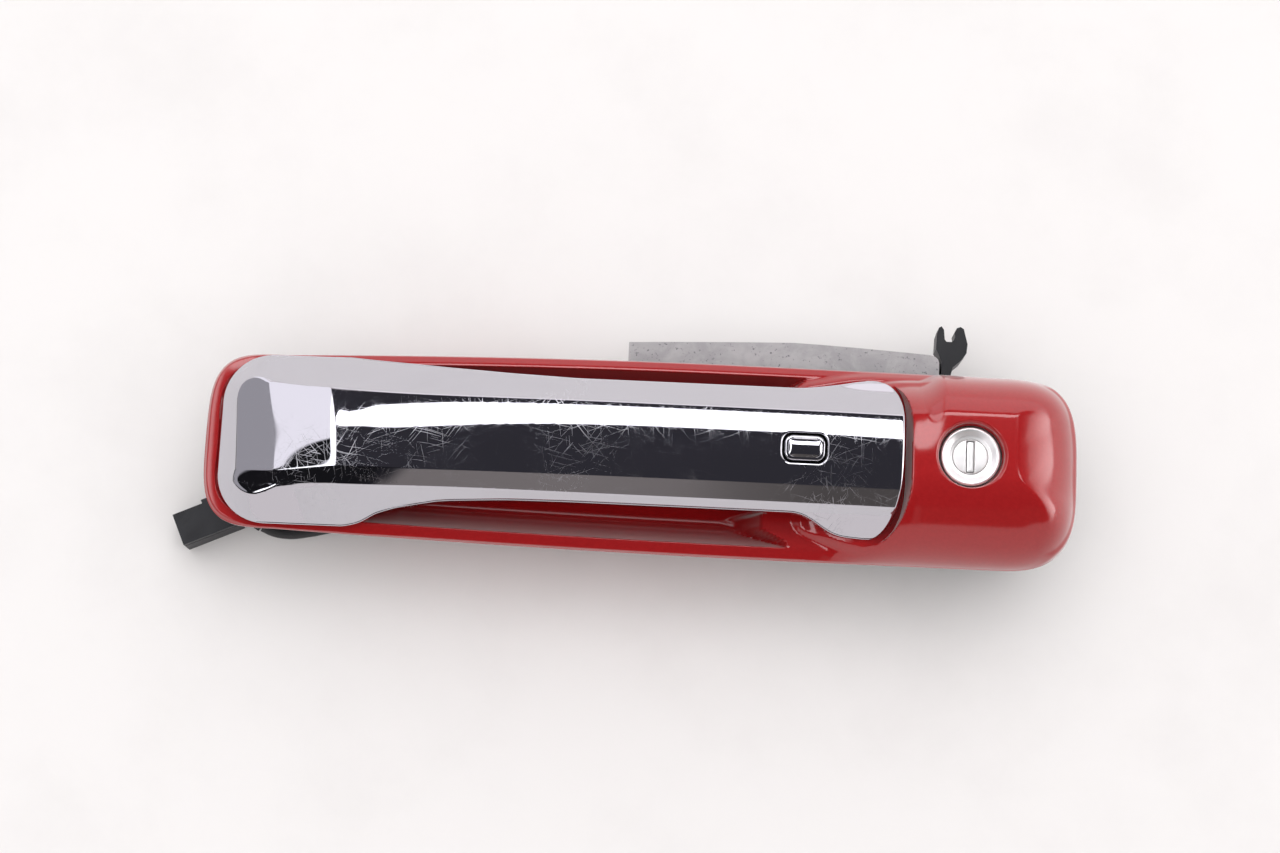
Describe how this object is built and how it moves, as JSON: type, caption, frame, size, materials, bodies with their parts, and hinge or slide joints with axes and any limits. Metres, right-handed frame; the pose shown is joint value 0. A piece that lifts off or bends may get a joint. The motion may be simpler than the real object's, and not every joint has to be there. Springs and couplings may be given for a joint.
{
  "type": "car door handle",
  "caption": "Exterior pull handle with a painted escutcheon, chromed grip, key lock, lock button, bellcrank and pigtail.",
  "frame": {"origin": "middle of the box that stands on the table, at the level of the chassis fixing bosses, with the handle lying on its back", "axes": "+X along the grip from its hinged front end to the key lock, +Y up on the closed door, +Z straight out of the door"},
  "size_m": [0.2833, 0.0796, 0.0597],
  "materials": {
    "red_paint": "gloss clear-coated body colour",
    "chrome": "bright chrome plating with fine handling scratches",
    "black_nylon": "moulded glass-filled nylon",
    "black_plastic": "moulded, fine spark texture",
    "black_rubber": "matt",
    "cable_jacket": "semi-matt flexible jacket",
    "foam": "closed-cell foam",
    "cast_zinc": "as cast, mottled grey",
    "stainless_steel": "satin",
    "zinc_plated_steel": "zinc plated",
    "spring_steel": "phosphated wire",
    "brass": "machined",
    "ferrite": "ferrite core under lacquered winding",
    "circuit_board": "solder mask"
  },
  "bodies": {
    "base": {"bezel": "red_paint", "bezel_gasket": "foam", "chassis": "black_nylon", "fixing_insert_1": "brass", "fixing_insert_2": "brass", "fixing_insert_3": "brass", "fixing_insert_4": "brass", "bezel_screw_1": "zinc_plated_steel", "bezel_screw_2": "zinc_plated_steel", "bezel_screw_3": "zinc_plated_steel", "bezel_screw_4": "zinc_plated_steel", "front_pivot_pin": "zinc_plated_steel", "grip_bumper": "black_rubber", "bellcrank_pin": "zinc_plated_steel", "pin_clip_1": "zinc_plated_steel", "pin_clip_2": "zinc_plated_steel", "return_spring": "spring_steel", "lock_housing": "cast_zinc", "lock_face": "stainless_steel", "lock_retainer": "zinc_plated_steel", "cable_grommet": "black_rubber", "pigtail": "cable_jacket", "connector": "black_plastic", "connector_terminals": "zinc_plated_steel", "connector_boot": "black_rubber"},
    "grip": {"grip_cover": "chrome", "grip_core": "black_nylon", "antenna": "ferrite", "circuit_board": "circuit_board", "micro_switch": "black_plastic", "button_seal": "black_rubber"},
    "button": {"lock_button": "chrome"},
    "bellcrank": {"bellcrank": "cast_zinc"},
    "rod_clip": {"rod_clip": "black_plastic"},
    "lock_plug": {"lock_plug": "stainless_steel", "lock_tail_lever": "zinc_plated_steel", "lock_tail_clip": "zinc_plated_steel"},
    "shutter": {"keyway_shutter": "stainless_steel"}
  },
  "joints": [
    {"name": "grip_pull", "type": "hinge", "parent": "base", "child": "grip", "pos_m": [-0.122, -0.0091, 0.024], "axis": [0, -1, 0], "range_deg": [0, 6], "stiffness_Nm_per_rad": 4, "springref_deg": -5.73},
    {"name": "bellcrank_swing", "type": "hinge", "parent": "base", "child": "bellcrank", "pos_m": [0.03, 0.0184, 0.018], "axis": [-1, 0, 0], "range_deg": [0, 42.2], "stiffness_Nm_per_rad": 0.05, "springref_deg": -34.38},
    {"name": "rod_clip_tilt", "type": "hinge", "parent": "bellcrank", "child": "rod_clip", "pos_m": [0.091, 0.0263, 0.018], "axis": [1, 0, 0], "range_deg": [-20, 20]},
    {"name": "button_press", "type": "slide", "parent": "grip", "child": "button", "axis": [0, 0, -1], "range_m": [0, 0.0008], "stiffness_N_per_m": 2500, "springref_m": -0.0004},
    {"name": "key_turn", "type": "hinge", "parent": "base", "child": "lock_plug", "pos_m": [0.1, -0.0081, 0.05], "axis": [0, 0, 1], "range_deg": [-75, 75], "stiffness_Nm_per_rad": 0.02},
    {"name": "shutter_swing", "type": "hinge", "parent": "lock_plug", "child": "shutter", "pos_m": [0.0991, -0.0081, 0.0525], "axis": [0, 1, 0], "range_deg": [0, 70], "stiffness_Nm_per_rad": 0.0005, "springref_deg": -17.19}
  ],
  "couplings": [
    {"joint": "bellcrank_swing", "follows": "grip_pull", "ratio": 7.0333}
  ]
}
